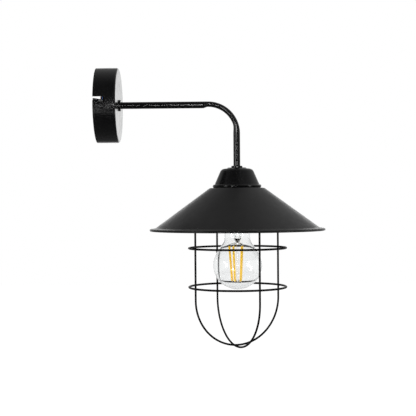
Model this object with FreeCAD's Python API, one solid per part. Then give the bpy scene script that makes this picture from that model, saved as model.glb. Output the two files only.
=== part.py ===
import FreeCAD, Part
import math
import os

# Cage wall light. Millimetres, +Z up. The origin is the centre of the wall cup's back, on the wall.
# +X runs out of the wall along the arm, and the lamp's own axis hangs vertically at x = arm_reach, y = 0.

V = FreeCAD.Vector
X, Y, Z = V(1, 0, 0), V(0, 1, 0), V(0, 0, 1)

# ---- clearances ----
rest_gap = 0.05            # between flat or welded faces of pieces that sit on each other
thread_gap = 0.08          # radial, between a thread and its nut, both drawn plain
moving_gap = 0.3           # between pieces that move against each other

# ---- wall cup ----
cup_radius = 45.0
cup_depth = 26.5
cup_wall = 1.0
cup_edge_radius = 1.0
side_screw_height = 10.1   # of the side screws' axis above the wall
fixing_turn = 5.0          # degrees that bracket, side screws and slots are turned about the arm's axis
slot_turn = 10.6           # degrees from the slot's closed end to its way out

# ---- wall bracket ----
bracket_width = 17.0
bracket_thickness = 1.5
ear_width = 14.0
ear_bend_radius = 1.0
wall_slot_spacing = 60.0
wall_slot_length = 12.0
wall_slot_width = 4.5
cable_hole_radius = 6.0
earth_screw_offset = 14.0

# ---- screws ----
side_screw_radius = 2.0
side_screw_grip = 8.0
side_head_radius = 3.5
side_head_height = 2.4
earth_screw_radius = 2.0
earth_head_radius = 3.5
earth_head_height = 2.2
earth_washer_radius = 4.5
earth_washer_thickness = 0.8
drive_slot_width = 0.9
drive_slot_depth = 1.1

# ---- arm ----
arm_reach = 168.0          # wall to the lamp's axis
arm_drop = 76.0            # arm's axis down to the seat of the lower collar
tube_radius = 4.1
tube_wall = 1.0
bend_radius = 34.5
bend_flat_half = 3.3       # the bent stretch is flattened: half its height in the bend's plane
bend_wide_half = 4.75      # and half its width across that plane
bend_entry = 6.0           # length before the bend over which the round tube turns oval
bend_exit = 22.0           # degrees at the bend's end over which it turns round again
collar_radius = 6.75
collar_thickness = 2.2
collar_socket = 1.5        # the tube's end sits this deep in the collar
collar_edge_radius = 0.8
stub_radius = 4.95
stub_bore_radius = 3.1
stub_spare = 4.2           # upper stub beyond its nut, inside the wall cup

# ---- nuts and washers on the arm's stubs ----
nut_flats = 14.0
nut_thickness = 5.0
cap_nut_thickness = 3.0
washer_radius = 8.5
washer_thickness = 1.0
washer_teeth = 12
tag_radius = 7.6
tag_thickness = 0.8
tag_barrel_radius = 1.7
tag_barrel_length = 4.5

# ---- terminal block ----
block_length = 26.0
block_height = 12.0
block_depth = 12.0
block_offset = 20.0        # arm's axis up to the block's lower face
pole_pitch = 8.0
pole_count = 3
sleeve_radius = 1.85
sleeve_bore_radius = 1.25
sleeve_from_base = 4.2
block_screw_radius = 1.2
block_well_radius = 2.3
lead_grip = 3.5

# ---- leads ----
lead_radius = 1.0
lead_half_gap = 1.25       # half the distance between the two leads' axes
lead_lift = 0.7            # both run this far off the tube's axis, to the outside of its bend
lead_bend = 5.0
lead_return = 5.5          # wall to the leads where they turn back into the arm
lead_step = 13.5           # arm's axis up to the leads where they leave the block

# ---- shade cap ----
cap_height = 24.35         # its seat on the collar down to its rim
cap_wall = 0.9
cap_boss_radius = 11.2
cap_boss_height = 1.1
cap_shoulder_radius = 18.8
cap_shoulder_fillet = 6.0
cap_rim_radius = 29.5
cap_bead_radius = 2.1

# ---- shade ----
shade_wall = 0.8
shade_top_radius = 33.0
shade_top_fillet = 3.0
shade_foot_radius = 98.2
shade_cone_height = 47.6
shade_foot_fillet = 3.0
shade_rim_radius = 105.5
shade_bead_radius = 1.4
shade_lip_drop = 2.6       # the cone's foot down to the middle of the rolled lip

# ---- lampholder ----
holder_radius = 19.75      # over the skirt's thread
holder_flange_radius = 23.5
holder_flange_thickness = 2.5
skirt_length = 43.6        # below the flange
skirt_bore_radius = 17.2
skirt_neck_radius = 14.0
skirt_mouth_radius = 16.5
skirt_mouth_depth = 4.0
skirt_thread_pitch = 2.4
skirt_thread_depth = 0.5
skirt_thread_count = 9
dome_height = 13.9
dome_radius = 20.5
dome_wall = 2.2
dome_top_radius = 10.5
dome_top_thickness = 4.0
insert_depth = 14.1        # flange's seat down to the ledge that holds the insert
insert_thickness = 8.5
insert_gap = 0.1
shell_wall = 0.4
shell_length = 24.5
shell_hole_radius = 7.2
contact_width = 5.0
contact_thickness = 0.4
contact_drop = 4.0         # insert's underside down to the bulb's contact
terminal_offset = 7.5
terminal_size = 5.0
terminal_height = 5.0
terminal_lead_depth = 2.5
terminal_screw_radius = 1.2
terminal_screw_head = 1.9

# ---- shade ring ----
shade_ring_radius = 26.0
shade_ring_height = 6.0
shade_ring_flutes = 24
shade_ring_flute_radius = 1.3

# ---- cage ----
cage_plate_radius = 31.0
cage_plate_thickness = 1.2
hoop_wire_radius = 1.2
ring_wire_radius = 1.25
ring_radius = 58.4         # of the rings' wire axis
upper_ring_drop = 70.3     # plate's underside down to each ring and to the upper hoop's lowest point
lower_ring_drop = 117.2
hoop_drop = 187.2
hoop_turn = 26.5           # degrees from +X to the first hoop's legs; the other crosses it at a right angle
hoop_inner_end = 27.3
hoop_bend = 6.0

# ---- bulb ----
bulb_length = 104.1
globe_radius = 30.0
shoulder_radius = 22.0     # tighter arc above the globe's widest place
shoulder_angle = 33.0      # degrees of that arc, and of the straight taper after it
flare_radius = 20.0
neck_radius = 15.6
glass_wall = 0.7
seal_radius = 12.7
seal_length = 3.6
bulb_cap_height = 26.5     # contact to the cap's rim
bulb_crest_radius = 13.05
bulb_root_radius = 12.3
bulb_cap_rim_radius = 13.5
bulb_cap_wall = 0.35
bulb_thread_pitch = 3.629
bulb_thread_count = 4
insulator_radius = 9.7
insulator_height = 2.4
contact_radius = 4.6
contact_height = 0.8
stem_seat = 1.5            # the stem's flared rim above the cap's rim, sealed into the neck
stem_radius = 4.5
stem_wall = 0.8
stem_length = 23.0
rod_radius = 1.25
rod_end_gap = 8.4          # the rod's end to the inside of the globe's lowest point
lead_wire_radius = 0.35
lead_wire_circle = 2.4
lead_wire_turns = (0.0, 210.0)
filament_radius = 1.3
filament_top_circle = 9.8
filament_bottom_circle = 6.6
filament_turns = (180.0, 240.0, 301.0, 52.0)
filament_below_stem = 4.0  # the stem's foot down to the sticks' upper ends
filament_above_rod = 1.1   # the rod's end up to their lower ends
clip_radius = 0.75
clip_length = 2.2
support_radius = 0.3

# ---- places worked out from the sizes above ----
cup_inside = cup_depth - cup_wall
ear_face_y = math.sqrt((cup_radius - cup_wall - rest_gap) ** 2 - (ear_width / 2) ** 2)
ear_height = side_screw_height + ear_width / 2
seat_z = -arm_drop
cap_rim_z = seat_z - cap_height
shade_top_z = cap_rim_z - rest_gap
shade_foot_z = shade_top_z - shade_cone_height
shade_bead_z = shade_foot_z - shade_lip_drop
dome_bottom_z = shade_top_z + holder_flange_thickness
dome_top_z = dome_bottom_z + dome_height
skirt_bottom_z = shade_top_z - skirt_length
insert_bottom_z = shade_top_z - insert_depth
insert_top_z = insert_bottom_z + insert_thickness
terminal_screw_z = insert_top_z + terminal_height * 0.68
plate_top_z = shade_top_z - shade_wall
plate_bottom_z = plate_top_z - cage_plate_thickness
contact_z = insert_bottom_z - contact_drop
bulb_rim_z = contact_z - bulb_cap_height
bulb_bottom_z = contact_z - bulb_length
globe_z = bulb_bottom_z + globe_radius
shell_radius = bulb_crest_radius + moving_gap
stem_top_z = bulb_rim_z + stem_seat
stem_foot_z = stem_top_z - stem_length
rod_foot_z = bulb_bottom_z + glass_wall + rod_end_gap
stem_flare_radius = seal_radius - glass_wall - rest_gap
leg_radius = ring_radius - ring_wire_radius - hoop_wire_radius - rest_gap
cone_angle = math.degrees(math.atan2(shade_cone_height, shade_foot_radius - shade_top_radius))
bend_start_x = arm_reach - bend_radius
bend_shift = tube_radius - bend_flat_half
plain_hole_radius = stub_radius + thread_gap
block_base_x = cup_inside - rest_gap
sleeve_x = block_base_x - sleeve_from_base
nut_face_x = cup_inside - washer_thickness - tag_thickness
stub_end_x = nut_face_x - nut_thickness - stub_spare
side_seat_radius = cup_radius + moving_gap
slot_half_width = side_screw_radius + moving_gap


# ---- outlines and turned pieces ----

def rounded(corners, closed):
    """Edges through (a, b, fillet) corners in the XZ plane, each corner rounded with a tangent arc."""
    count = len(corners)
    spans = []
    for i, (a, b, fillet) in enumerate(corners):
        here = V(a, 0, b)
        if fillet == 0 or (not closed and i in (0, count - 1)):
            spans.append((here, None, here))
            continue
        back = corners[i - 1]
        ahead = corners[(i + 1) % count]
        to_back = (V(back[0], 0, back[1]) - here).normalize()
        to_ahead = (V(ahead[0], 0, ahead[1]) - here).normalize()
        half = to_back.getAngle(to_ahead) / 2
        inward = (to_back + to_ahead).normalize()
        centre = here + inward * (fillet / math.sin(half))
        length = fillet / math.tan(half)
        spans.append((here + to_back * length, centre - inward * fillet, here + to_ahead * length))
    edges = []
    for i, (first, middle, last) in enumerate(spans):
        if middle is not None:
            edges.append(Part.Arc(first, middle, last).toShape())
        if i + 1 < count or closed:
            following = spans[(i + 1) % count][0]
            if last.distanceToPoint(following) > 1e-6:
                edges.append(Part.LineSegment(last, following).toShape())
    return edges


def moved_sideways(path, distance):
    """The (a, b, fillet) path moved to its right by a distance, its fillets kept concentric."""
    lines = []
    for (a0, b0, _), (a1, b1, _) in zip(path, path[1:]):
        along = V(a1 - a0, 0, b1 - b0).normalize()
        aside = V(along.z, 0, -along.x) * distance
        lines.append((V(a0, 0, b0) + aside, V(a1, 0, b1) + aside, along))
    moved = [(lines[0][0].x, lines[0][0].z, 0)]
    for (_, end, before), (_, _, after), corner in zip(lines, lines[1:], path[1:]):
        turn = before.x * after.z - before.z * after.x
        half = before.getAngle(after) / 2
        shift = math.copysign(distance * math.tan(half), turn)
        point = end + before * shift
        fillet = corner[2]
        if fillet:
            fillet = fillet + math.copysign(distance, turn)
        moved.append((point.x, point.z, fillet))
    moved.append((lines[-1][1].x, lines[-1][1].z, 0))
    return moved


def sheet_corners(path, thickness):
    """Closed outline of a sheet whose one face follows the path and whose other face lies to its right."""
    return path + moved_sideways(path, thickness)[::-1]


def turned(corners):
    """Solid turned about the Z axis from a closed (radius, z, fillet) outline."""
    face = Part.Face(Part.Wire(rounded(corners, True)))
    return face.revolve(V(0, 0, 0), Z, 360)


def ring_wire(radius, wire_radius, z):
    """A closed ring of round wire about the Z axis."""
    return Part.makeTorus(radius, wire_radius, V(0, 0, z), Z)


def disc(radius, low, high):
    return Part.makeCylinder(radius, high - low, V(0, 0, low), Z)


def on_arm(shape):
    """Turned about Z, laid so that its axis is the arm's: what was up now points out of the wall."""
    laid = shape.copy()
    laid.rotate(V(0, 0, 0), Y, 90)
    return laid


def on_lamp(shape):
    """Turned about Z, moved to the lamp's axis."""
    hung = shape.copy()
    hung.translate(V(arm_reach, 0, 0))
    return hung


def box(low, high):
    return Part.makeBox(high.x - low.x, high.y - low.y, high.z - low.z, low)


def fused(shapes):
    first, *rest = shapes
    return first.fuse(rest).removeSplitter() if rest else first


def drive_slot(head_radius, top, turn):
    """Cutter for a straight screwdriver slot across a head whose top is at z = top."""
    low = V(-head_radius - 1, -drive_slot_width / 2, top - drive_slot_depth)
    slot = box(low, V(head_radius + 1, drive_slot_width / 2, top + 1))
    slot.rotate(V(0, 0, 0), Z, turn)
    return slot


def cross_screw(shank, grip, head, height, crossed):
    """Pan-head screw along Z: its head's underside at z = 0, its shank below."""
    corners = [(0, -grip, 0), (shank, -grip, 0.4), (shank, 0, 0), (head, 0, 0), (head, height, height * 0.6)]
    screw = turned(corners + [(0, height, 0)])
    for turn in (0, 90) if crossed else (0,):
        screw = screw.cut(drive_slot(head * (0.45 if crossed else 1), height, turn))
    return screw


def hex_nut(flats, thickness, bore):
    """Hexagon nut from z = 0 up, its corners chamfered."""
    corner = flats / math.sqrt(3)
    turns = [math.radians(60 * i) for i in range(7)]
    points = [V(corner * math.cos(turn), corner * math.sin(turn), 0) for turn in turns]
    prism = Part.Face(Part.makePolygon(points)).extrude(V(0, 0, thickness))
    bevel = (corner - flats / 2) * 0.8
    crown = [(bore, 0, 0), (flats / 2, 0, 0), (corner, bevel, 0), (corner, thickness - bevel, 0)]
    return prism.common(turned(crown + [(flats / 2, thickness, 0), (bore, thickness, 0)]))


# ---- wall bracket and its screws ----

def with_fixing(shape):
    """Turned with the bracket about the arm's axis."""
    shape.rotate(V(0, 0, 0), X, fixing_turn)
    return shape


def side_place(shape, side):
    """Takes a shape that stands on z = 0 to a side screw's seat: side -1 is the near side, +1 the far one."""
    placed = shape.copy()
    placed.rotate(V(0, 0, 0), X, -90 * side)
    placed.translate(V(side_screw_height, side * side_seat_radius, 0))
    return with_fixing(placed)


def wall_bracket():
    """Plate across the cup, with a narrower ear bent up at each end and rounded about its side screw."""
    inner = ear_face_y - bracket_thickness
    bend = ear_bend_radius + bracket_thickness
    path = [(ear_height, -ear_face_y, 0), (0, -ear_face_y, bend)]
    path += [(0, ear_face_y, bend), (ear_height, ear_face_y, 0)]
    strip = Part.Face(Part.Wire(rounded(sheet_corners(path, bracket_thickness), True)))
    strip = strip.extrude(V(0, bracket_width, 0))
    strip.rotate(V(0, 0, 0), X, 90)
    strip.translate(V(0, 0, -bracket_width / 2))
    plate_half = ear_face_y - bend
    plate = box(V(-1, -plate_half, -bracket_width / 2), V(ear_height, plate_half, bracket_width / 2))
    ears = box(V(-1, -cup_radius, -ear_width / 2), V(side_screw_height, cup_radius, ear_width / 2))
    round_ends = Part.makeCylinder(ear_width / 2, 2 * cup_radius, V(side_screw_height, -cup_radius, 0), Y)
    strip = strip.common(fused([plate, ears, round_ends]))
    for side in (-1, 1):
        tapped = Part.makeCylinder(side_screw_radius + thread_gap, bracket_thickness * 4,
                                   V(side_screw_height, side * inner - bracket_thickness * 2, 0), Y)
        strip = strip.cut(tapped)
    strip = strip.cut(on_arm(disc(cable_hole_radius, -1, bracket_thickness + 1)))
    earth = on_arm(disc(earth_screw_radius + thread_gap, -1, bracket_thickness + 1))
    earth.translate(V(0, earth_screw_offset, 0))
    strip = with_fixing(strip.cut(earth))
    for side in (-1, 1):
        strip = strip.cut(wall_slot(side * wall_slot_spacing / 2))
    return strip


def wall_slot(centre):
    """Cutter for a slot for a wall screw; the two lie level side by side in the turned plate."""
    half = (wall_slot_length - wall_slot_width) / 2
    deep = bracket_thickness + 2
    ends = [Part.makeCylinder(wall_slot_width / 2, deep, V(-1, centre + s * half, 0), X) for s in (-1, 1)]
    middle = box(V(-1, centre - half, -wall_slot_width / 2), V(deep - 1, centre + half, wall_slot_width / 2))
    return fused([middle] + ends)


def side_screw(side):
    screw = cross_screw(side_screw_radius, side_screw_grip, side_head_radius, side_head_height, True)
    return side_place(screw, side)


def earth_place(shape, height):
    placed = on_arm(shape)
    placed.translate(V(height, earth_screw_offset, 0))
    return with_fixing(placed)


def earth_screw():
    stack = bracket_thickness + earth_washer_thickness + rest_gap
    screw = cross_screw(earth_screw_radius, stack - rest_gap, earth_head_radius, earth_head_height, False)
    return earth_place(screw, stack)


def earth_washer():
    ring = disc(earth_washer_radius, 0, earth_washer_thickness)
    ring = ring.cut(disc(earth_screw_radius + thread_gap * 2, -1, earth_washer_thickness + 1))
    return earth_place(ring, bracket_thickness)


# ---- wall cup ----

def bayonet_slot():
    """Cutter for the far side's slot: round seat at the screw, a way round, and a way out to the rim."""
    deep = cup_wall + 2
    low = cup_radius - cup_wall - 1
    seat = Part.makeCylinder(slot_half_width, deep, V(side_screw_height, low, 0), Y)
    band = turned([(low, -slot_half_width, 0), (low + deep, -slot_half_width, 0),
                   (low + deep, slot_half_width, 0), (low, slot_half_width, 0)])
    band = on_arm(band)
    band.translate(V(side_screw_height, 0, 0))
    reach = math.radians(slot_turn)
    far = 2 * cup_radius
    centre = V(0, 0, 0)
    turned_side = V(0, far * math.cos(reach), -far * math.sin(reach))
    wedge = Part.Face(Part.makePolygon([centre, V(0, far, 0), turned_side, centre]))
    band = band.common(wedge.extrude(V(cup_depth, 0, 0)))
    corner = seat.copy()
    corner.rotate(V(0, 0, 0), X, -slot_turn)
    exit_way = box(V(-1, low, -slot_half_width), V(side_screw_height, low + deep, slot_half_width))
    exit_way.rotate(V(0, 0, 0), X, -slot_turn)
    return fused([band, seat, corner, exit_way])


def wall_cup():
    path = [(plain_hole_radius, cup_depth, 0), (cup_radius, cup_depth, cup_edge_radius + cup_wall)]
    path += [(cup_radius, 0, 0)]
    cup = on_arm(turned(sheet_corners(path, cup_wall)))
    for turn in (0, 180):
        slot = bayonet_slot()
        slot.rotate(V(0, 0, 0), X, turn)
        cup = cup.cut(with_fixing(slot))
    return cup


# ---- arm ----

def oval(centre, across, upward, half_across, half_up):
    """Closed wire of an ellipse whose longer axis is across."""
    side = centre + across * half_across
    top = centre + upward * half_up
    if abs(half_across - half_up) < 1e-9:
        curve = Part.Circle(side, top, centre - across * half_across)
    else:
        curve = Part.Ellipse(side, top, centre)
    return Part.Wire(curve.toShape())


def bend_section(x_back, angle, share, inset):
    """The tube's section at a bend angle, or x_back before the bend; share 0 is round, 1 fully flattened."""
    ease = share * share * (3 - 2 * share)
    outward = V(math.sin(math.radians(angle)), 0, math.cos(math.radians(angle)))
    centre = V(bend_start_x - x_back, 0, -bend_radius) + outward * (bend_radius + bend_shift * ease)
    wide = tube_radius + (bend_wide_half - tube_radius) * ease - inset
    flat = tube_radius + (bend_flat_half - tube_radius) * ease - inset
    return oval(centre, Y, outward, wide, flat)


def bent_bar(inset):
    """The arm's outer form, or its bore for an inset of one wall: round, oval in the bend, round again."""
    round_half = tube_radius - inset
    first_x = cup_depth + collar_thickness - collar_socket
    last_z = seat_z + collar_thickness - collar_socket
    spare = 1.0 if inset else 0.0
    straight = Part.makeCylinder(round_half, bend_start_x - bend_entry - first_x + spare,
                                 V(first_x - spare, 0, 0), X)
    shares = [0.0, 0.03, 0.25, 0.5, 0.75, 0.97, 1.0]
    sections = [bend_section(bend_entry * (1 - share), 0, share, inset) for share in shares]
    flattened = 90 - bend_exit
    sections += [bend_section(0, flattened * i / 9, 1.0, inset) for i in range(1, 10)]
    sections += [bend_section(0, 90 - bend_exit * share, share, inset) for share in reversed(shares[:-1])]
    bend = Part.makeLoft(sections, True, False)
    drop = Part.makeCylinder(round_half, -bend_radius - last_z + spare, V(arm_reach, 0, last_z - spare), Z)
    return fused([straight, bend, drop])


def arm_tube():
    return bent_bar(0.0).cut(bent_bar(tube_wall))


def collar(stub_length):
    """Turned end piece: a flange with a socket for the tube, and a stub, drawn with its seat at z = 0."""
    socket = tube_radius + rest_gap
    floor = collar_thickness - collar_socket
    corners = [(stub_bore_radius, -stub_length, 0), (stub_radius, -stub_length, 0.5), (stub_radius, 0, 0)]
    corners += [(collar_radius, 0, 0), (collar_radius, collar_thickness, collar_edge_radius)]
    corners += [(socket, collar_thickness, 0), (socket, floor - rest_gap, 0)]
    return turned(corners + [(stub_bore_radius, floor - rest_gap, 0)])


def arm_collar_wall():
    piece = on_arm(collar(cup_depth - stub_end_x))
    piece.translate(V(cup_depth, 0, 0))
    return piece


def arm_collar_shade():
    piece = on_lamp(collar(seat_z - dome_top_z + dome_top_thickness))
    piece.translate(V(0, 0, seat_z))
    return piece


def arm_washer():
    ring = disc(washer_radius, 0, washer_thickness)
    ring = ring.cut(disc(plain_hole_radius, -1, washer_thickness + 1))
    notch = washer_radius * math.pi / washer_teeth / 2
    for i in range(washer_teeth):
        low = V(washer_radius - notch * 2, -notch / 2, -1)
        cut = box(low, V(washer_radius + 1, notch / 2, washer_thickness + 1))
        cut.rotate(V(0, 0, 0), Z, 360 / washer_teeth * i)
        ring = ring.cut(cut)
    piece = on_arm(ring)
    piece.translate(V(cup_inside - washer_thickness, 0, 0))
    return piece


def earth_tag():
    """Ring tag under the arm's nut, with a barrel for the earth lead above it."""
    eye = on_arm(disc(tag_radius, 0, tag_thickness).cut(disc(plain_hole_radius, -1, tag_thickness + 1)))
    tongue_top = tag_radius + 2.5
    tongue = box(V(0, -tag_barrel_radius, stub_radius + 1.5),
                 V(tag_thickness, tag_barrel_radius, tongue_top + 0.5))
    barrel_x = tag_thickness - tag_barrel_radius
    barrel = Part.makeCylinder(tag_barrel_radius, tag_barrel_length, V(barrel_x, 0, tongue_top), Z)
    piece = fused([eye, tongue, barrel])
    bore = Part.makeCylinder(lead_radius + rest_gap, tag_barrel_length, V(barrel_x, 0, tongue_top + 1.5), Z)
    piece = piece.cut(bore)
    piece.translate(V(nut_face_x, 0, 0))
    return piece


def arm_nut():
    nut = on_arm(hex_nut(nut_flats, nut_thickness, plain_hole_radius))
    nut.translate(V(nut_face_x - nut_thickness, 0, 0))
    return nut


def cap_nut():
    nut = on_lamp(hex_nut(nut_flats, cap_nut_thickness, plain_hole_radius))
    nut.translate(V(0, 0, seat_z - cap_wall - cap_nut_thickness))
    return nut


# ---- terminal block and leads ----

def pole_ys():
    return [pole_pitch * (i - (pole_count - 1) / 2) for i in range(pole_count)]


def screw_zs():
    """Two clamp screws on each pole, one near each end of its sleeve."""
    return [block_offset + block_height * share for share in (0.27, 0.73)]


def terminal_block():
    face_x = block_base_x - block_depth
    body = box(V(face_x + 4, -block_length / 2, block_offset),
               V(block_base_x, block_length / 2, block_offset + block_height))
    towers = []
    wells = []
    for y in pole_ys():
        towers.append(box(V(face_x, y - pole_pitch * 0.4, block_offset + 0.5),
                          V(face_x + 5, y + pole_pitch * 0.4, block_offset + block_height - 0.5)))
        wells.append(Part.makeCylinder(sleeve_radius + rest_gap, block_height + 2,
                                       V(sleeve_x, y, block_offset - 1), Z))
        wells += [Part.makeCylinder(block_well_radius, sleeve_x - face_x + 1, V(face_x - 1, y, z), X)
                  for z in screw_zs()]
    return fused([body] + towers).cut(wells)


def terminal_sleeves():
    sleeves = []
    for y in pole_ys():
        tube = Part.makeCylinder(sleeve_radius, block_height - 1, V(sleeve_x, y, block_offset + 0.5), Z)
        bore = Part.makeCylinder(sleeve_bore_radius, block_height + 1, V(sleeve_x, y, block_offset - 0.5), Z)
        holes = [Part.makeCylinder(block_screw_radius + thread_gap, sleeve_radius * 2,
                                   V(sleeve_x - sleeve_radius * 2, y, z), X) for z in screw_zs()]
        sleeves.append(tube.cut([bore] + holes))
    return Part.makeCompound(sleeves)


def terminal_screws():
    """Each screw's tip stops on the lead in its sleeve."""
    screws = []
    length = 6.0
    for y in pole_ys():
        for z in screw_zs():
            screw = Part.makeCylinder(block_screw_radius, length, V(0, 0, 0), Z)
            head = disc(block_well_radius - 0.3, length, length + 1.4)
            screw = fused([screw, head.cut(drive_slot(block_well_radius, length + 1.4, 0))])
            screw.rotate(V(0, 0, 0), Y, -90)
            screw.translate(V(sleeve_x - lead_radius - rest_gap, y, z))
            screws.append(screw)
    return Part.makeCompound(screws)


def rounded_route(points):
    """Wire through (x, y, z, bend radius) points: straight runs joined by tangent arcs."""
    spans = []
    for i, (x, y, z, radius) in enumerate(points):
        here = V(x, y, z)
        if i in (0, len(points) - 1):
            spans.append((here, None, here))
            continue
        to_back = (V(*points[i - 1][:3]) - here).normalize()
        to_ahead = (V(*points[i + 1][:3]) - here).normalize()
        half = to_back.getAngle(to_ahead) / 2
        inward = (to_back + to_ahead).normalize()
        length = radius / math.tan(half)
        middle = here + inward * (radius / math.sin(half) - radius)
        spans.append((here + to_back * length, middle, here + to_ahead * length))
    edges = []
    for (_, _, last), (first, middle, end) in zip(spans, spans[1:]):
        if last.distanceToPoint(first) > 1e-6:
            edges.append(Part.LineSegment(last, first).toShape())
        if middle is not None:
            edges.append(Part.Arc(first, middle, end).toShape())
    return Part.Wire(edges)


def swept(points, radius):
    """Round bar along a route, checked against its section times its length."""
    route = rounded_route(points)
    start = route.OrderedVertexes[0].Point
    along = (route.OrderedVertexes[1].Point - start).normalize()
    circle = Part.Wire(Part.Circle(start, along, radius).toShape())
    bar = route.makePipeShell([circle], True, False)
    solid = Part.Solid(bar) if bar.ShapeType != "Solid" else bar
    expected = math.pi * radius ** 2 * route.Length
    print("bar volume / section x length: %.4f" % (solid.Volume / expected))
    return solid


def mains_lead(side):
    """From its pole in the terminal block, back into the arm, round the bend and down to its terminal."""
    pole_y = side * pole_pitch
    beside = side * lead_half_gap
    turn_radius = bend_radius + lead_lift
    below = dome_top_z - dome_top_thickness - 1.5
    terminal_y = side * terminal_offset
    terminal_top = insert_top_z + terminal_height
    points = [(sleeve_x, pole_y, block_offset + lead_grip, 0)]
    points += [(sleeve_x, pole_y, lead_step, lead_bend), (lead_return, pole_y, lead_step, lead_bend)]
    points += [(lead_return, beside, lead_lift, lead_bend)]
    points += [(arm_reach + lead_lift, beside, lead_lift, turn_radius)]
    points += [(arm_reach + lead_lift, beside, below, lead_bend)]
    points += [(arm_reach, terminal_y, terminal_top + 3.0, lead_bend)]
    points += [(arm_reach, terminal_y, terminal_top - terminal_lead_depth + rest_gap, 0)]
    return swept(points, lead_radius)


def earth_lead():
    """From the tag's barrel up to the middle pole."""
    barrel_x = nut_face_x + tag_thickness - tag_barrel_radius
    start = tag_radius + 2.5 + 1.5 + rest_gap
    top = tag_radius + 2.5 + tag_barrel_length
    points = [(barrel_x, 0, start, 0), (barrel_x, 0, top + 1.2, 2.5)]
    points += [(sleeve_x, 0, block_offset - 1.0, 2.5), (sleeve_x, 0, block_offset + lead_grip, 0)]
    return swept(points, lead_radius)


# ---- shade cap and shade ----

def shade_cap():
    top = seat_z - cap_boss_height
    bead_radius_axis = cap_rim_radius - cap_bead_radius
    bead_z = cap_rim_z + cap_bead_radius
    path = [(plain_hole_radius, seat_z, 0), (cap_boss_radius, seat_z, 0.5)]
    path += [(cap_boss_radius + cap_boss_height, top, 1.0), (cap_shoulder_radius, top, cap_shoulder_fillet)]
    path += [(bead_radius_axis + cap_wall * 0.6, bead_z + 0.3, 0)]
    sheet = turned(sheet_corners(path, cap_wall))
    return on_lamp(fused([sheet, ring_wire(bead_radius_axis, cap_bead_radius, bead_z)]))


def shade():
    bead_axis = shade_rim_radius - shade_bead_radius
    path = [(holder_radius + moving_gap, shade_top_z, 0), (shade_top_radius, shade_top_z, shade_top_fillet)]
    path += [(shade_foot_radius, shade_foot_z, shade_foot_fillet)]
    path += [(bead_axis, shade_bead_z + shade_bead_radius - 0.4, 0)]
    sheet = turned(sheet_corners(path, shade_wall))
    return on_lamp(fused([sheet, ring_wire(bead_axis, shade_bead_radius, shade_bead_z)]))


# ---- lampholder ----

def holder_dome():
    inner = dome_radius - dome_wall
    waist = dome_bottom_z + dome_height * 0.55
    corners = [(plain_hole_radius, dome_top_z, 0), (dome_top_radius, dome_top_z, 1.0)]
    corners += [(dome_radius, waist, 5.0), (dome_radius, dome_bottom_z, 0), (inner, dome_bottom_z, 0)]
    corners += [(inner, waist - 1.0, 3.0), (dome_top_radius, dome_top_z - dome_top_thickness, 0)]
    corners += [(plain_hole_radius, dome_top_z - dome_top_thickness, 0)]
    return on_lamp(turned(corners))


def skirt_thread():
    """Thread of the skirt as (radius, z, fillet) corners, from its top ridge down."""
    corners = []
    z = plate_bottom_z - 0.6
    root = holder_radius - skirt_thread_depth
    for _ in range(skirt_thread_count):
        corners += [(holder_radius, z, 0), (root, z - skirt_thread_pitch * 0.25, 0)]
        corners += [(root, z - skirt_thread_pitch * 0.45, 0)]
        corners += [(holder_radius, z - skirt_thread_pitch * 0.7, 0)]
        z -= skirt_thread_pitch
    return corners + [(holder_radius, z, 0), (root, z - skirt_thread_pitch * 0.25, 0)]


def holder_skirt():
    corners = [(holder_flange_radius, dome_bottom_z, 0.6), (holder_flange_radius, shade_top_z, 0.3)]
    corners += [(holder_radius, shade_top_z, 0)] + skirt_thread()
    foot = holder_radius - skirt_thread_depth
    mouth_z = skirt_bottom_z + skirt_mouth_depth
    corners += [(foot, skirt_bottom_z, 1.0), (skirt_mouth_radius, skirt_bottom_z, 0.3)]
    corners += [(skirt_mouth_radius, mouth_z, 0), (skirt_neck_radius, mouth_z, 0)]
    corners += [(skirt_neck_radius, insert_bottom_z, 0)]
    corners += [(skirt_bore_radius, insert_bottom_z, 0), (skirt_bore_radius, dome_bottom_z, 0)]
    return on_lamp(turned(corners))


def holder_insert():
    return on_lamp(disc(skirt_bore_radius - insert_gap, insert_bottom_z, insert_top_z))


def holder_screw_shell():
    outer = shell_radius + shell_wall
    bottom = insert_bottom_z - shell_length
    corners = [(shell_hole_radius, insert_bottom_z, 0), (outer, insert_bottom_z, 0.6), (outer, bottom, 0)]
    corners += [(shell_radius, bottom, 0), (shell_radius, insert_bottom_z - shell_wall, 0.2)]
    corners += [(shell_hole_radius, insert_bottom_z - shell_wall, 0)]
    return on_lamp(turned(corners))


def holder_centre_contact():
    """Bent spring strip under the insert; its low flat meets the bulb's contact."""
    low = contact_z + rest_gap + contact_thickness
    path = [(-6.0, insert_bottom_z, 0), (-3.6, insert_bottom_z, 0.8), (-1.6, low, 0.8)]
    path += [(1.9, low, 0.8), (3.0, low + 1.4, 0)]
    strip = Part.Face(Part.Wire(rounded(sheet_corners(path, contact_thickness), True)))
    strip = strip.extrude(V(0, contact_width, 0))
    strip.translate(V(0, -contact_width / 2, 0))
    return on_lamp(strip)


def holder_terminals():
    blocks = []
    half = terminal_size / 2
    top = insert_top_z + terminal_height
    for side in (-1, 1):
        y = side * terminal_offset
        block = box(V(-half, y - half, insert_top_z), V(half, y + half, top))
        entry = Part.makeCylinder(lead_radius + rest_gap, terminal_lead_depth + 1,
                                  V(0, y, top - terminal_lead_depth), Z)
        tapped = Part.makeCylinder(terminal_screw_radius + thread_gap, half + 1, V(0, y, terminal_screw_z), X)
        blocks.append(on_lamp(block.cut([entry, tapped])))
    return Part.makeCompound(blocks)


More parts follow.
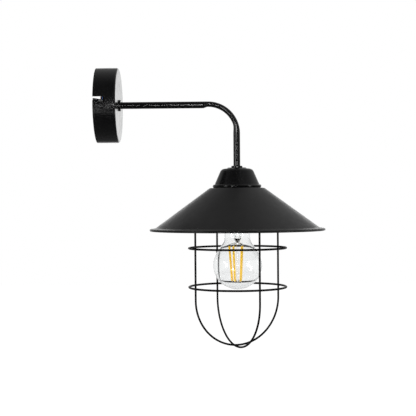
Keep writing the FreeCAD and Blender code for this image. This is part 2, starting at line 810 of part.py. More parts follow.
def holder_terminal_screws():
    screws = []
    half = terminal_size / 2
    for side in (-1, 1):
        shank = half - lead_radius - 0.1
        screw = cross_screw(terminal_screw_radius, shank, terminal_screw_head, 1.4, False)
        screw.rotate(V(0, 0, 0), Y, 90)
        screw.translate(V(half, side * terminal_offset, terminal_screw_z))
        screws.append(on_lamp(screw))
    return Part.makeCompound(screws)


def shade_ring():
    top = plate_bottom_z
    bore = holder_radius + thread_gap
    low = top - shade_ring_height
    corners = [(bore, top, 0), (shade_ring_radius, top, 0.5), (shade_ring_radius, low, 1.0), (bore, low, 0)]
    ring = turned(corners)
    flutes = []
    for i in range(shade_ring_flutes):
        turn = math.radians(360 / shade_ring_flutes * i)
        out = shade_ring_radius + shade_ring_flute_radius * 0.6
        foot = V(out * math.cos(turn), out * math.sin(turn), low - 1)
        flutes.append(Part.makeCylinder(shade_ring_flute_radius, shade_ring_height + 2, foot, Z))
    return on_lamp(ring.cut(flutes))


# ---- cage ----

def cage_plate():
    plate = disc(cage_plate_radius, plate_bottom_z, plate_top_z)
    return on_lamp(plate.cut(disc(holder_radius + moving_gap, plate_bottom_z - 1, plate_top_z + 1)))


def cage_hoop(turn, drop):
    """Two legs from under the plate, out beside the cone and down, joined by a half circle."""
    top = plate_bottom_z - hoop_wire_radius - rest_gap
    elbow = cage_plate_radius + 0.5
    slope = math.tan(math.radians(cone_angle))
    knee_z = top - (leg_radius - elbow) * slope
    centre_z = plate_bottom_z - drop + leg_radius
    leg = [(hoop_inner_end, top, 0), (elbow, top, hoop_bend)]
    leg += [(leg_radius, knee_z, hoop_bend), (leg_radius, centre_z, 0)]
    right = rounded(leg, False)
    left = [edge.mirror(V(0, 0, 0), X) for edge in reversed(right)]
    lowest = V(0, 0, centre_z - leg_radius)
    bottom = Part.Arc(V(leg_radius, 0, centre_z), lowest, V(-leg_radius, 0, centre_z))
    route = Part.Wire(right + [bottom.toShape()] + left)
    circle = Part.Wire(Part.Circle(V(hoop_inner_end, 0, top), X, hoop_wire_radius).toShape())
    hoop = route.makePipeShell([circle], True, False)
    hoop = Part.Solid(hoop) if hoop.ShapeType != "Solid" else hoop
    expected = math.pi * hoop_wire_radius ** 2 * route.Length
    print("hoop volume / section x length: %.4f" % (hoop.Volume / expected))
    hoop.rotate(V(0, 0, 0), Z, turn)
    return on_lamp(hoop)


def cage_ring(drop):
    return on_lamp(ring_wire(ring_radius, ring_wire_radius, plate_bottom_z - drop))


# ---- bulb ----

def glass_side(inset):
    """Edges of the glass's side from the seal down to its lowest point, on its outside or an inset within."""
    angle = math.radians(shoulder_angle)
    seal = seal_radius - inset
    neck = neck_radius - inset
    flare = flare_radius + inset
    arc_axis = globe_radius - shoulder_radius
    arc = shoulder_radius - inset
    shoulder = V(arc_axis + arc * math.cos(angle), 0, globe_z + arc * math.sin(angle))
    upward = V(-math.sin(angle), 0, math.cos(angle))
    meet = shoulder + upward * ((shoulder.x - neck) / math.sin(angle))
    length = flare * math.tan(angle / 2)
    flare_low = meet - upward * length
    flare_top = V(neck, 0, meet.z + length)
    flare_centre = V(neck + flare, 0, flare_top.z)
    flare_middle = flare_centre + V(-math.cos(angle / 2), 0, -math.sin(angle / 2)) * flare
    arc_middle = V(arc_axis + arc * math.cos(angle / 2), 0, globe_z + arc * math.sin(angle / 2))
    round_centre = V(seal_radius, 0, bulb_rim_z - rest_gap - (neck_radius - seal_radius))
    round_radius = neck_radius - seal_radius - inset
    round_low = V(neck, 0, round_centre.z)
    round_top = V(seal_radius, 0, round_centre.z + round_radius)
    round_middle = round_centre + V(math.sin(math.pi / 4), 0, math.sin(math.pi / 4)) * round_radius
    seal_low = V(seal, 0, round_top.z)
    seal_top = V(seal, 0, bulb_rim_z + seal_length)
    equator = V(globe_radius - inset, 0, globe_z)
    pole = V(0, 0, globe_z - globe_radius + inset)
    quarter = V(math.sin(math.pi / 4), 0, -math.sin(math.pi / 4)) * (globe_radius - inset) + V(0, 0, globe_z)
    edges = [Part.LineSegment(seal_top, seal_low).toShape()]
    if inset:
        edges.append(Part.LineSegment(seal_low, round_top).toShape())
    edges.append(Part.Arc(round_top, round_middle, round_low).toShape())
    edges.append(Part.LineSegment(round_low, flare_top).toShape())
    edges.append(Part.Arc(flare_top, flare_middle, flare_low).toShape())
    edges.append(Part.LineSegment(flare_low, shoulder).toShape())
    edges.append(Part.Arc(shoulder, arc_middle, equator).toShape())
    edges.append(Part.Arc(equator, quarter, pole).toShape())
    return edges, seal_top, pole


def bulb_glass():
    outside, outer_top, outer_pole = glass_side(0.0)
    inside, inner_top, inner_pole = glass_side(glass_wall)
    pole_line = Part.LineSegment(outer_pole, inner_pole).toShape()
    top_line = Part.LineSegment(inner_top, outer_top).toShape()
    outline = Part.Wire(Part.__sortEdges__(outside + inside + [pole_line, top_line]))
    return on_lamp(Part.Face(outline).revolve(V(0, 0, 0), Z, 360))


def bulb_screw_cap():
    """Thin shell with rounded ridges, open at the glass, closed round the insulator."""
    insulator_low = contact_z - contact_height - insulator_height
    path = [(insulator_radius + rest_gap + bulb_cap_wall, insulator_low + 0.6, 0)]
    z = insulator_low - 1.4
    path.append((bulb_root_radius, z, 0.6))
    for _ in range(bulb_thread_count):
        path.append((bulb_root_radius, z - bulb_thread_pitch * 0.25, 0.6))
        path.append((bulb_crest_radius, z - bulb_thread_pitch * 0.45, 0.4))
        path.append((bulb_crest_radius, z - bulb_thread_pitch * 0.55, 0.4))
        path.append((bulb_root_radius, z - bulb_thread_pitch * 0.75, 0.6))
        z -= bulb_thread_pitch
    path += [(bulb_root_radius, z - 0.6, 0.6), (bulb_cap_rim_radius, z - 2.4, 0.6)]
    path += [(bulb_cap_rim_radius, bulb_rim_z, 0)]
    return on_lamp(turned(sheet_corners(path, bulb_cap_wall)))


def bulb_insulator():
    top = contact_z - contact_height
    low = top - insulator_height
    corners = [(0, top, 0), (contact_radius + 0.6, top, 0.4), (insulator_radius, low + 0.6, 0.3)]
    return on_lamp(turned(corners + [(insulator_radius, low, 0), (0, low, 0)]))


def bulb_contact():
    low = contact_z - contact_height
    corners = [(0, contact_z, 0), (contact_radius, contact_z, contact_height * 0.7)]
    return on_lamp(turned(corners + [(contact_radius, low, 0), (0, low, 0)]))


def bulb_stem():
    """Flared glass tube that narrows to a solid rod carrying the filaments' lower supports."""
    top = stem_top_z
    waist = top - 4.0
    foot = stem_foot_z
    corners = [(stem_flare_radius, top, 0), (stem_flare_radius, top - stem_wall, 0.3)]
    corners += [(stem_radius, waist, 2.0), (stem_radius, foot + 5.0, 2.0)]
    corners += [(rod_radius, foot, 1.5), (rod_radius, rod_foot_z, 1.0), (0, rod_foot_z, 0)]
    corners += [(0, foot + 6.0, 0), (stem_radius - stem_wall, foot + 7.5, 0.5)]
    corners += [(stem_radius - stem_wall, waist + stem_wall, 2.0), (stem_radius + 2.5, top, 0)]
    bores = [rod_between(start, end, lead_wire_radius + rest_gap) for start, end in lead_wire_ends(1.0)]
    return on_lamp(turned(corners).cut(bores))


def lead_wire_ends(spare):
    """Upper and lower end of each lead-in wire through the stem's solid foot, lengthened by spare."""
    ends = []
    for turn in lead_wire_turns:
        angle = math.radians(turn)
        across = V(math.cos(angle), math.sin(angle), 0) * lead_wire_circle
        upper = across + V(0, 0, stem_foot_z + 9.0 + spare)
        ends.append((upper, across + V(0, 0, stem_foot_z + 0.3 - spare)))
    return ends


def bulb_lead_wires():
    wires = [rod_between(top, low, lead_wire_radius) for top, low in lead_wire_ends(0.0)]
    return on_lamp(Part.makeCompound(wires))


def filament_ends(turn):
    """Top and bottom of one filament stick, on circles that narrow downwards."""
    angle = math.radians(turn)
    around = V(math.cos(angle), math.sin(angle), 0)
    top = around * filament_top_circle + V(0, 0, stem_foot_z - filament_below_stem)
    bottom = around * filament_bottom_circle + V(0, 0, rod_foot_z + filament_above_rod)
    return top, bottom


def rod_between(start, end, radius):
    return Part.makeCylinder(radius, start.distanceToPoint(end), start, end - start)


def bulb_filaments():
    sticks = []
    for turn in filament_turns:
        top, bottom = filament_ends(turn)
        stick = rod_between(top, bottom, filament_radius)
        sticks.append(on_lamp(stick))
    return Part.makeCompound(sticks)


def clip_ends(turn):
    """Outer ends of the clips on one filament's top and bottom."""
    top, bottom = filament_ends(turn)
    along = (top - bottom).normalize()
    return top + along * clip_length, bottom - along * clip_length


def bulb_clips():
    clips = []
    for turn in filament_turns:
        top, bottom = filament_ends(turn)
        high, low = clip_ends(turn)
        clips.append(on_lamp(rod_between(top, high, clip_radius)))
        clips.append(on_lamp(rod_between(bottom, low, clip_radius)))
    return Part.makeCompound(clips)


def bulb_supports():
    """A wire from the stem to each upper clip and from the rod's end to each lower clip."""
    wires = []
    for turn in filament_turns:
        high, low = clip_ends(turn)
        around = V(high.x, high.y, 0).normalize()
        upper_start = around * (rod_radius + support_radius + 0.6) + V(0, 0, stem_foot_z - 0.2)
        lower_start = around * (rod_radius + support_radius + rest_gap) + V(0, 0, rod_foot_z + 2.0)
        wires.append(on_lamp(rod_between(upper_start, high + around * -clip_radius, support_radius)))
        wires.append(on_lamp(rod_between(lower_start, low + around * -clip_radius, support_radius)))
    return Part.makeCompound(wires)


# ---- the nodes ----

nodes = {
    "wall_bracket": wall_bracket(),
    "side_screw_near": side_screw(-1),
    "side_screw_far": side_screw(1),
    "earth_screw": earth_screw(),
    "earth_washer": earth_washer(),
    "wall_cup": wall_cup(),
    "arm_tube": arm_tube(),
    "arm_collar_wall": arm_collar_wall(),
    "arm_collar_shade": arm_collar_shade(),
    "arm_washer": arm_washer(),
    "earth_tag": earth_tag(),
    "arm_nut": arm_nut(),
    "cap_nut": cap_nut(),
    "terminal_block": terminal_block(),
    "terminal_sleeves": terminal_sleeves(),
    "terminal_screws": terminal_screws(),
    "lead_live": mains_lead(-1),
    "lead_neutral": mains_lead(1),
    "lead_earth": earth_lead(),
    "shade_cap": shade_cap(),
    "shade": shade(),
    "holder_dome": holder_dome(),
    "holder_skirt": holder_skirt(),
    "holder_insert": holder_insert(),
    "holder_screw_shell": holder_screw_shell(),
    "holder_centre_contact": holder_centre_contact(),
    "holder_terminals": holder_terminals(),
    "holder_terminal_screws": holder_terminal_screws(),
    "shade_ring": shade_ring(),
    "cage_plate": cage_plate(),
    "cage_upper_ring": cage_ring(upper_ring_drop),
    "cage_lower_ring": cage_ring(lower_ring_drop),
    "cage_hoop_wide": cage_hoop(hoop_turn, hoop_drop),
    "cage_hoop_cross": cage_hoop(hoop_turn - 90, hoop_drop + 2 * hoop_wire_radius + rest_gap),
    "bulb_glass": bulb_glass(),
    "bulb_screw_cap": bulb_screw_cap(),
    "bulb_insulator": bulb_insulator(),
    "bulb_contact": bulb_contact(),
    "bulb_stem": bulb_stem(),
    "bulb_lead_wires": bulb_lead_wires(),
    "bulb_filaments": bulb_filaments(),
    "bulb_clips": bulb_clips(),
    "bulb_supports": bulb_supports(),
}

os.makedirs("parts", exist_ok=True)
for name, shape in nodes.items():
    shape.exportStep("parts/" + name + ".step")
    print("%-24s valid %s solids %d volume %.1f" % (name, shape.isValid(), len(shape.Solids), shape.Volume))
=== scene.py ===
# %% [markdown]
# # A cage wall light, dressed in Blender
# The lamp's construction comes in ready-made: every cup, nut, wire and lead is already a mesh at its
# real size. What is left is the looks. Each cell below takes one finish or one piece, says what it is
# on the real lamp, and makes it. The first cell loads the construction.

# %% Load the frame
import math

import bmesh
import bpy
from mathutils import Matrix, Vector


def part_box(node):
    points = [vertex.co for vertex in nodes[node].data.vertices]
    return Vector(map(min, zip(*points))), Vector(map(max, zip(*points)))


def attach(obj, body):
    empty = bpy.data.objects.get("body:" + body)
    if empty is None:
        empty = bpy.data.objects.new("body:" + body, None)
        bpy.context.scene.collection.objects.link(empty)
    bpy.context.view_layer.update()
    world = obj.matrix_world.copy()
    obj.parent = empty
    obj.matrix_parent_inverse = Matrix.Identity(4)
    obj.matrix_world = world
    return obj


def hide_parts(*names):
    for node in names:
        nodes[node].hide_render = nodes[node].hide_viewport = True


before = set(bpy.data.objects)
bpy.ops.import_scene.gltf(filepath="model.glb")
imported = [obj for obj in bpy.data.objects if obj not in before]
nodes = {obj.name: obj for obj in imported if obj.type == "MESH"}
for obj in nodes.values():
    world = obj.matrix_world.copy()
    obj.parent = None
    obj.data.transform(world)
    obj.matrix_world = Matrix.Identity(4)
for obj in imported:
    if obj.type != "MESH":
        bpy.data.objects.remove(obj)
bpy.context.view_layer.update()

MM = 0.001

# %% [markdown]
# ## Where things are
# The places are read from the frame, so that the dressing follows the construction if that changes.
# The lamp hangs on one vertical axis, which runs through the middle of the bulb. The globe is the
# widest part of the bulb's glass and ends at its foot, so the box of the glass gives the globe's
# radius and centre.

# %% Places on the lamp
glass_low, glass_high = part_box("bulb_glass")
lamp_x = (glass_low[0] + glass_high[0]) / 2
globe_radius = (glass_high[0] - glass_low[0]) / 2
globe_z = glass_low[2] + globe_radius
bulb_rim_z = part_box("bulb_screw_cap")[0][2]
print("lamp axis x %.4f, globe centre z %.4f" % (lamp_x, globe_z))

# %% [markdown]
# ## The camera
# A product photograph is taken from well back with a long lens, so that near and far edges of the
# lamp come out almost the same size. The eye is level with the shade. The lens is worked out from the
# focal length in pixels: a 36 mm wide sensor stands for the whole picture's width.

# %% Camera
photo_width = 416
focal_pixels = 975
sensor_width = 36
camera_place = Vector((0.1537, -1.1755, -0.1195))
camera_yaw = math.radians(-1.017)
camera_pitch = math.radians(-0.236)
camera_roll = math.radians(-0.42)

forward = Vector((math.sin(camera_yaw) * math.cos(camera_pitch),
                  math.cos(camera_yaw) * math.cos(camera_pitch),
                  math.sin(camera_pitch)))
level_right = forward.cross(Vector((0, 0, 1))).normalized()
level_up = level_right.cross(forward)
right = level_right * math.cos(camera_roll) + level_up * math.sin(camera_roll)
up = right.cross(forward)

camera_data = bpy.data.cameras.new("camera")
camera_data.sensor_width = sensor_width
camera_data.lens = sensor_width * focal_pixels / photo_width
camera = bpy.data.objects.new("camera", camera_data)
camera.matrix_world = Matrix((right, up, -forward)).transposed().to_4x4()
camera.location = camera_place
bpy.context.scene.collection.objects.link(camera)
bpy.context.scene.camera = camera
bpy.context.scene.view_settings.view_transform = "Standard"
print("lens %.1f mm" % camera_data.lens)

# %% [markdown]
# ## The studio
# Black paint shows little colour of its own: what the eye reads is the room in it. The lamp stands in
# front of a bright backdrop, with the dark side of the studio behind the camera. So a face seen at a
# glance, such as the wall cup's front, mirrors the backdrop and looks pale grey, and a face turned to
# the camera stays nearly black. The world shader holds that room. What the camera sees, straight on
# or through glass, is plain white. What a surface mirrors is the room: dim in front, brighter behind
# and to the right, with the backdrop's glare straight behind. Room and backdrop are darker towards
# the ground, so the lower sides of round pieces stay calm. A ray that bends through clear glass
# counts both as mirrored and as passed on, so the one is taken off the other.

# %% World
def add(tree, kind, **settings):
    """New node in a tree; settings are its properties, or inputs given by name."""
    node = tree.nodes.new(kind)
    for key, value in settings.items():
        if hasattr(node, key):
            setattr(node, key, value)
        else:
            node.inputs[key.replace("_", " ")].default_value = value
    return node


def math_node(tree, operation, first, second):
    """Math node whose two inputs are sockets or numbers."""
    node = tree.nodes.new("ShaderNodeMath")
    node.operation = operation
    for socket, value in zip(node.inputs, (first, second)):
        if isinstance(value, (int, float)):
            socket.default_value = value
        else:
            tree.links.new(value, socket)
    return node.outputs[0]


def map_range(tree, value, from_low, from_high, to_low, to_high, smooth=True):
    """Value brought from one range to another, held at its ends."""
    node = tree.nodes.new("ShaderNodeMapRange")
    node.interpolation_type = "SMOOTHSTEP" if smooth else "LINEAR"
    tree.links.new(value, node.inputs["Value"])
    node.inputs["From Min"].default_value = from_low
    node.inputs["From Max"].default_value = from_high
    node.inputs["To Min"].default_value = to_low
    node.inputs["To Max"].default_value = to_high
    return node.outputs["Result"]


def mirrored_ray(tree):
    """1 for a ray mirrored by a surface, 0 for one that comes straight or through glass."""
    rays = add(tree, "ShaderNodeLightPath").outputs
    mirrored = math_node(tree, "SUBTRACT", rays["Is Glossy Ray"], rays["Is Transmission Ray"])
    mirrored.node.use_clamp = True
    return mirrored


# Brightness of the room's parts, where 1 is plain white; a foot is the share that is left near the ground.
room_front = 0.04
room_depth = 0.27
room_right = 0.12
room_foot = 0.4
backdrop = 1.35
backdrop_foot = 0.35

# Where each part begins and ends, as a coordinate of the ray's direction: 1 is straight along that axis.
room_depth_span = (-0.6, 0.5)
room_right_span = (0.0, 0.4)
room_foot_span = (-0.6, 0.1)
backdrop_span = (0.88, 0.99)
backdrop_foot_span = (-0.35, -0.05)

world = bpy.data.worlds.new("studio")
bpy.context.scene.world = world
world.use_nodes = True
world.cycles.sampling_method = "NONE"
sky = world.node_tree
sky.nodes.clear()
direction = add(sky, "ShaderNodeSeparateXYZ")
sky.links.new(add(sky, "ShaderNodeTexCoord").outputs["Generated"], direction.inputs[0])
across, depth, height = direction.outputs
room = map_range(sky, depth, *room_depth_span, room_front, room_front + room_depth)
room = math_node(sky, "ADD", room, map_range(sky, across, *room_right_span, 0.0, room_right))
room = math_node(sky, "MULTIPLY", room, map_range(sky, height, *room_foot_span, room_foot, 1.0))
sheet = map_range(sky, depth, *backdrop_span, 0.0, backdrop)
sheet_foot = map_range(sky, height, *backdrop_foot_span, backdrop_foot, 1.0)
sheet = math_node(sky, "MULTIPLY", sheet, sheet_foot)
room = math_node(sky, "ADD", room, sheet)
room_light = add(sky, "ShaderNodeBackground")
sky.links.new(room, room_light.inputs["Strength"])
plain_white = add(sky, "ShaderNodeBackground", Strength=1.0)
for background in (room_light, plain_white):
    background.inputs["Color"].default_value = (1, 1, 1, 1)
mirrored = mirrored_ray(sky)
blend = add(sky, "ShaderNodeMixShader")
sky.links.new(mirrored, blend.inputs["Fac"])
sky.links.new(plain_white.outputs[0], blend.inputs[1])
sky.links.new(room_light.outputs[0], blend.inputs[2])
sky.links.new(blend.outputs[0], add(sky, "ShaderNodeOutputWorld").inputs["Surface"])
print("world nodes", len(sky.nodes))

# %% [markdown]
# ## The floor
# A plain pale floor well below the lamp catches its soft shadow. It is a diffuse white that also
# glows a little, so that its lit part joins the white background. Reflections look through it into
# the room.

# %% Floor
floor_drop = 0.55
floor_size = 8.0
floor_glow = 0.25
floor_white = 0.8

floor_mesh = bpy.data.meshes.new("floor")
half = floor_size / 2
corners = [(-half, -half, 0), (half, -half, 0), (half, half, 0), (-half, half, 0)]
floor_mesh.from_pydata(corners, [], [(0, 1, 2, 3)])
floor = bpy.data.objects.new("floor", floor_mesh)
floor.location = (lamp_x, 0, -floor_drop)
bpy.context.scene.collection.objects.link(floor)

floor_material = bpy.data.materials.new("floor_white")
floor_material.use_nodes = True
tree = floor_material.node_tree
tree.nodes.clear()
diffuse = add(tree, "ShaderNodeBsdfDiffuse")
diffuse.inputs["Color"].default_value = (floor_white, floor_white, floor_white, 1)
glow = add(tree, "ShaderNodeEmission", Strength=floor_glow)
lit_floor = add(tree, "ShaderNodeAddShader")
tree.links.new(diffuse.outputs[0], lit_floor.inputs[0])
tree.links.new(glow.outputs[0], lit_floor.inputs[1])
see_through = add(tree, "ShaderNodeBsdfTransparent")
surface = add(tree, "ShaderNodeMixShader")
tree.links.new(mirrored_ray(tree), surface.inputs["Fac"])
tree.links.new(lit_floor.outputs[0], surface.inputs[1])
tree.links.new(see_through.outputs[0], surface.inputs[2])
tree.links.new(surface.outputs[0], add(tree, "ShaderNodeOutputMaterial").inputs["Surface"])
floor_mesh.materials.append(floor_material)
print("floor at z %.2f" % floor.location.z)

# %% [markdown]
# ## The lamps of the studio
# Two tall soft boxes stand left and right of the camera. They draw the two pale lines down the
# upright tube, and the soft spots left and right in the bulb. A third, in front, draws the line along
# the level tube. A fourth, low and to the left, makes the small white spark on the bulb. The last two
# have a grid, which keeps their light in a narrow beam, so that the side of the wall cup mirrors
# little of either.

# %% Soft boxes
light_distance = 1.7
shade_z = -0.12
arm_z = -0.02


def soft_box(name, azimuth, elevation, width, height, power, spread=180, aim_z=shade_z):
    """Area light aimed at the lamp's axis; azimuth 0 is the camera's side and grows to the right."""
    aim = Vector((lamp_x, 0, aim_z))
    turn = math.radians(azimuth)
    rise = math.radians(elevation)
    outward = Vector((math.sin(turn) * math.cos(rise),
                      -math.cos(turn) * math.cos(rise),
                      math.sin(rise)))
    light = bpy.data.lights.new(name, "AREA")
    light.shape = "RECTANGLE"
    light.size = width
    light.size_y = height
    light.energy = power
    light.spread = math.radians(spread)
    box = bpy.data.objects.new(name, light)
    box.location = aim + outward * light_distance
    box.rotation_euler = outward.to_track_quat("Z", "Y").to_euler()
    bpy.context.scene.collection.objects.link(box)


soft_box("softbox_left", azimuth=-54, elevation=-2, width=0.35, height=0.6, power=5.5)
soft_box("softbox_right", azimuth=64, elevation=-17, width=0.35, height=0.6, power=5.0)
soft_box("softbox_front", azimuth=2, elevation=-4, width=0.34, height=0.25, power=0.07,
         spread=11, aim_z=arm_z)
soft_box("lamp_low", azimuth=-22, elevation=-19, width=0.4, height=0.6, power=0.11,
         spread=14, aim_z=globe_z)

# %% [markdown]
# ## Finishes
# Each finish is a small node network around one Principled shader. A number that is the same all over
# sits on the shader's own socket. What varies, such as a faint cloudiness of the paint or the grain
# of plated steel, comes from noise in the object's own coordinates, in metres, so the grain has its
# true size on every piece. Noise stays near its middle, so only its span from 0.3 to 0.7 is used.

# %% Tools for finishes
noise_low = 0.3
noise_high = 0.7


def principled(name, colour, roughness, metallic=0.0, **sockets):
    """Material with one Principled shader; sockets are given by name with _ for a space."""
    material = bpy.data.materials.new(name)
    material.use_nodes = True
    shader = material.node_tree.nodes["Principled BSDF"]
    shader.inputs["Base Color"].default_value = (*colour, 1)
    shader.inputs["Roughness"].default_value = roughness
    shader.inputs["Metallic"].default_value = metallic
    for key, value in sockets.items():
        shader.inputs[key.replace("_", " ")].default_value = value
    return material, shader


def noise(tree, scale, detail=3.0, stretch=(1, 1, 1)):
    """Noise in the object's own metres: scale is about how many lumps lie along one metre."""
    place = add(tree, "ShaderNodeTexCoord")
    mapping = add(tree, "ShaderNodeMapping")
    mapping.inputs["Scale"].default_value = stretch
    tree.links.new(place.outputs["Object"], mapping.inputs["Vector"])
    texture = add(tree, "ShaderNodeTexNoise", Scale=scale, Detail=detail)
    tree.links.new(mapping.outputs[0], texture.inputs["Vector"])
    return texture.outputs["Fac"]


def vary_colour(material, shader, value, colours):
    """Base colour that goes from one colour to the other with a value."""
    tree = material.node_tree
    ramp = add(tree, "ShaderNodeValToRGB")
    for stop, position, colour in zip(ramp.color_ramp.elements, (noise_low, noise_high), colours):
        stop.position = position
        stop.color = (*colour, 1)
    tree.links.new(value, ramp.inputs["Fac"])
    tree.links.new(ramp.outputs["Color"], shader.inputs["Base Color"])


def vary_roughness(material, shader, value, low, high):
    """Roughness that goes from low to high with a noise value."""
    tree = material.node_tree
    roughness = map_range(tree, value, noise_low, noise_high, low, high, smooth=False)
    tree.links.new(roughness, shader.inputs["Roughness"])


def raise_bumps(material, shader, value, depth):
    """Bump from a value; depth is the height of the relief in metres."""
    tree = material.node_tree
    bump = add(tree, "ShaderNodeBump", Strength=1.0, Distance=depth)
    tree.links.new(value, bump.inputs["Height"])
    tree.links.new(bump.outputs["Normal"], shader.inputs["Normal"])


def dress(material, *names):
    """Gives the named CAD nodes the material in all their slots."""
    for name in names:
        for slot in nodes[name].material_slots:
            slot.material = material
    print(material.name, "on", ", ".join(names))


# %% [markdown]
# ### Black powder paint
# Nearly all that shows is steel with black powder paint. Powder melts into a skin with a very fine
# ripple, like the peel of an orange but much finer. The ripple is bump only, a few thousandths of a
# millimetre deep. The paint comes in four grades: satin on the shade and the bracket, half gloss on
# the wall cup and the cage plate, gloss on the arm, its collars, the side screws and the shade cap,
# and a dull one on the thin wires, whose edges would sparkle otherwise.

# %% Black paint
cloud_scale = 60
grain_scale = 140
ripple_scale = 1400
paint_sway = 0.12


def black_paint(name, roughness, ripple, shine=0.5):
    """Black powder paint, a little cloudy.

    ripple is the depth of its relief in metres, shine how strongly it mirrors when seen straight on.
    """
    paint, shader = principled(name, (0.003, 0.003, 0.0032), roughness, Specular_IOR_Level=shine)
    tree = paint.node_tree
    clouds = noise(tree, cloud_scale)
    vary_colour(paint, shader, clouds, ((0.0025, 0.0025, 0.0027), (0.0036, 0.0036, 0.0038)))
    grain = noise(tree, grain_scale, detail=4)
    vary_roughness(paint, shader, grain, roughness * (1 - paint_sway), roughness * (1 + paint_sway))
    raise_bumps(paint, shader, noise(tree, ripple_scale, detail=2), ripple)
    return paint


satin = black_paint("black_satin", roughness=0.33, ripple=0.005 * MM)
half_gloss = black_paint("black_half_gloss", roughness=0.23, ripple=0.003 * MM)
gloss = black_paint("black_gloss", roughness=0.2, ripple=0.002 * MM)
wire_paint = black_paint("black_wire", roughness=0.45, ripple=0.002 * MM, shine=0.2)
dress(satin, "shade", "wall_bracket")
dress(half_gloss, "wall_cup", "cage_plate")
dress(gloss, "arm_tube", "arm_collar_wall", "arm_collar_shade", "shade_cap")
dress(gloss, "side_screw_near", "side_screw_far")
dress(wire_paint, "cage_upper_ring", "cage_lower_ring", "cage_hoop_wide", "cage_hoop_cross")

# %% [markdown]
# ### Bare metals
# Nuts, the arm's washer, the earth tag and the terminal screws are zinc plated steel. The earth screw
# with its washer, the sleeves in the terminal block and the lampholder's screw shell, contact and
# terminals are brass. All these get a fine streaky noise for their roughness, as rolled or turned
# metal has. The bulb's screw cap is nickel plated, the wires in its glass are dull nickel and its
# foot contact is a drop of solder, and their noise is the same in every direction.

# %% Metals
streaks = (1, 1, 12)
even = (1, 1, 1)
metal_grain_scale = 260
metal_relief = 0.008 * MM
smoothest = 0.75
roughest = 1.3


def grained_metal(name, colour, roughness, grain_shape):
    """Metal whose roughness and fine relief follow one noise; grain_shape is that noise's stretch."""
    metal, shader = principled(name, colour, roughness, metallic=1.0)
    grain = noise(metal.node_tree, metal_grain_scale, detail=4, stretch=grain_shape)
    vary_roughness(metal, shader, grain, roughness * smoothest, roughness * roughest)
    raise_bumps(metal, shader, grain, metal_relief)
    return metal


zinc = grained_metal("zinc", (0.62, 0.62, 0.6), 0.34, streaks)
brass = grained_metal("brass_plain", (0.72, 0.52, 0.22), 0.3, streaks)
nickel = grained_metal("nickel", (0.72, 0.7, 0.66), 0.22, even)
wire_metal = grained_metal("wire_nickel", (0.35, 0.34, 0.31), 0.4, even)
solder = grained_metal("solder", (0.66, 0.66, 0.64), 0.38, even)
dress(zinc, "arm_washer", "arm_nut", "cap_nut", "earth_tag", "terminal_screws", "holder_terminal_screws")
dress(brass, "earth_screw", "earth_washer", "terminal_sleeves")
dress(brass, "holder_screw_shell", "holder_centre_contact", "holder_terminals")
dress(nickel, "bulb_screw_cap")
dress(solder, "bulb_contact")
dress(wire_metal, "bulb_clips", "bulb_supports", "bulb_lead_wires")

# %% [markdown]
# ### Moulded parts
# The lampholder is black phenolic, with a gloss like the cup's paint. The insert that carries the
# contacts is white ceramic. The terminal block is milky nylon, which lets a little light in. The
# bulb's insulator is black glass. Each has faint lumps of its own size, which one helper makes.

# %% Moulded plastic, ceramic and black glass
def moulded(name, colour, roughness, lumps, depth, **sockets):
    """Smooth moulded stuff with faint lumps: their number along a metre, and their depth in metres."""
    material, shader = principled(name, colour, roughness, **sockets)
    raise_bumps(material, shader, noise(material.node_tree, lumps), depth)
    return material


phenolic = moulded("holder_plastic", (0.01, 0.01, 0.01), 0.22, lumps=500, depth=0.01 * MM)
ceramic = moulded("insert_ceramic", (0.8, 0.79, 0.74), 0.45, lumps=900, depth=0.02 * MM)
nylon = moulded("block_nylon", (0.82, 0.82, 0.78), 0.4, lumps=700, depth=0.01 * MM,
                Subsurface_Weight=0.2, Subsurface_Scale=2 * MM)
black_glass = moulded("insulator_black", (0.012, 0.012, 0.014), 0.12, lumps=300, depth=0.02 * MM)
dress(phenolic, "holder_dome", "holder_skirt", "shade_ring")
dress(ceramic, "holder_insert")
dress(nylon, "terminal_block")
dress(black_glass, "bulb_insulator")

# %% [markdown]
# ### Leads
# Brown is live, blue is neutral. The earth lead is green with a yellow stripe that winds round it: a
# diagonal wave texture gives the stripe, and its strokes lie a few millimetres apart.

# %% Lead insulation
lead_roughness = 0.35
stripe_scale = 90.0

brown = moulded("lead_brown", (0.09, 0.035, 0.015), lead_roughness, lumps=900, depth=0.01 * MM)
blue = moulded("lead_blue", (0.02, 0.09, 0.34), lead_roughness, lumps=900, depth=0.01 * MM)
green, shader = principled("lead_green", (0.05, 0.3, 0.04), lead_roughness)
tree = green.node_tree
wave = add(tree, "ShaderNodeTexWave", Scale=stripe_scale)
wave.bands_direction = "DIAGONAL"
tree.links.new(add(tree, "ShaderNodeTexCoord").outputs["Object"], wave.inputs["Vector"])
vary_colour(green, shader, wave.outputs["Fac"], ((0.03, 0.22, 0.03), (0.8, 0.65, 0.04)))
dress(brown, "lead_live")
dress(blue, "lead_neutral")
dress(green, "lead_earth")

# %% [markdown]
# ## Turning a profile
# A glass bulb is round, so it can be turned like wood on a lathe: an outline of radius and height is
# swept once round the lamp's axis. Blender's Screw modifier does this too. Here the mesh is made
# directly, because then each point on the axis stays a single one and the glass closes there without
# a hole.

# %% Turning tools
axis_reach = 0.0001 * MM


def arc_points(centre, radius, start, end, steps):
    """Points of an arc in the (radius, height) plane, angles in degrees."""
    points = []
    for i in range(steps + 1):
        angle = math.radians(start + (end - start) * i / steps)
        points.append((centre[0] + radius * math.cos(angle), centre[1] + radius * math.sin(angle)))
    return points


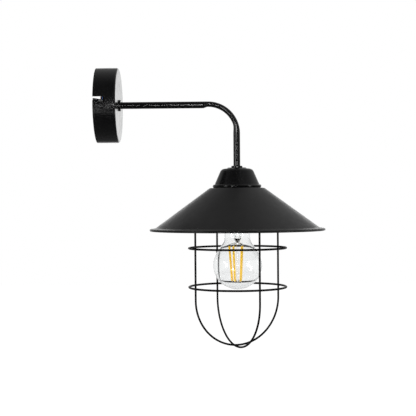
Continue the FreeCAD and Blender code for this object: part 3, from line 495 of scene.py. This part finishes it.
def turn_profile(name, profile, material, steps):
    """Mesh turned about the lamp's axis from a closed outline of (radius, height) points in metres.

    A point on the axis gives one vertex, any other a ring of so many steps.
    """
    mesh = bmesh.new()
    rings = []
    for radius, height in profile:
        if radius < axis_reach:
            rings.append([mesh.verts.new((lamp_x, 0, height))])
            continue
        ring = []
        for i in range(steps):
            turn = 2 * math.pi * i / steps
            place = (lamp_x + radius * math.cos(turn), radius * math.sin(turn), height)
            ring.append(mesh.verts.new(place))
        rings.append(ring)
    for first, second in zip(rings, rings[1:] + rings[:1]):
        if len(first) == 1 and len(second) == 1:
            continue
        for i in range(steps):
            j = (i + 1) % steps
            if len(first) == 1:
                mesh.faces.new((first[0], second[j], second[i]))
            elif len(second) == 1:
                mesh.faces.new((first[i], first[j], second[0]))
            else:
                mesh.faces.new((first[i], first[j], second[j], second[i]))
    bmesh.ops.recalc_face_normals(mesh, faces=mesh.faces)
    data = bpy.data.meshes.new(name)
    mesh.to_mesh(data)
    mesh.free()
    data.shade_smooth()
    data.materials.append(material)
    piece = bpy.data.objects.new(name, data)
    bpy.context.scene.collection.objects.link(piece)
    print(name, "faces", len(data.polygons))
    return piece


# %% [markdown]
# ## The bulb's envelope
# The envelope is a blown shell of clear glass, under a millimetre thick. It is turned from one
# outline: the outer side down to the bottom of the globe and the inner side back up. A turned mesh
# with many steps bends light smoothly, which matters here, because the wires behind the bulb are seen
# through both of its walls. The glass itself is one Principled shader that lets all light through,
# with the refraction of common glass.

# %% Clear glass
glass_tint = (0.965, 0.972, 0.972)
glass, _ = principled("clear_glass", glass_tint, 0.0, Transmission_Weight=1.0, IOR=1.5)
print(glass.name, "ready")

# %% Envelope
glass_wall = 0.7 * MM
shoulder_radius = 22 * MM
shoulder_angle = 33.0
flare_radius = 20 * MM
neck_radius = 15.6 * MM
seal_radius = 12.7 * MM
seal_length = 3.6 * MM
rim_gap = 0.05 * MM
turn_steps = 192


def envelope_side(inset):
    """(radius, height) points from the seal down to the globe's lowest point, inset from the outside."""
    angle = math.radians(shoulder_angle)
    arc_axis = globe_radius - shoulder_radius
    arc = shoulder_radius - inset
    neck = neck_radius - inset
    shoulder_x = arc_axis + arc * math.cos(angle)
    shoulder_z = globe_z + arc * math.sin(angle)
    meet_z = shoulder_z + (shoulder_x - neck) / math.tan(angle)
    flare = flare_radius + inset
    flare_top = meet_z + flare * math.tan(angle / 2)
    turn_in = neck_radius - seal_radius
    turn_in_z = bulb_rim_z - rim_gap - turn_in
    side = [(seal_radius - inset, bulb_rim_z + seal_length)]
    side += arc_points((seal_radius, turn_in_z), turn_in - inset, 90, 0, steps=8)
    side += arc_points((neck + flare, flare_top), flare, 180, 180 + shoulder_angle, steps=14)
    side += arc_points((arc_axis, globe_z), arc, shoulder_angle, 0, steps=20)
    side += arc_points((0, globe_z), globe_radius - inset, 0, -90, steps=40)[1:-1]
    return side + [(0, globe_z - globe_radius + inset)]


outside = envelope_side(0)
inside = envelope_side(glass_wall)
envelope = turn_profile("bulb_envelope", outside + inside[::-1], glass, turn_steps)
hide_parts("bulb_glass")
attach(envelope, "bulb")

# %% [markdown]
# ## Inside the bulb
# The stem is the same clear glass as the envelope. The LED sticks are coated with yellow phosphor, a
# strong colour even when the bulb is off. The bulb is off, yet they get a faint painted glow, which
# keeps their yellow bright behind two walls of glass.

# %% Stem and filaments
dress(glass, "bulb_stem")
# The emission is painted light: the bulb is off, and the glow only keeps the phosphor's yellow bright.
phosphor = moulded("phosphor_yellow_painted_glow", (0.97, 0.6, 0.04), 0.5, lumps=2500, depth=0.03 * MM,
                   Emission_Strength=0.35, Emission_Color=(1.0, 0.6, 0.03, 1))
dress(phosphor, "bulb_filaments")
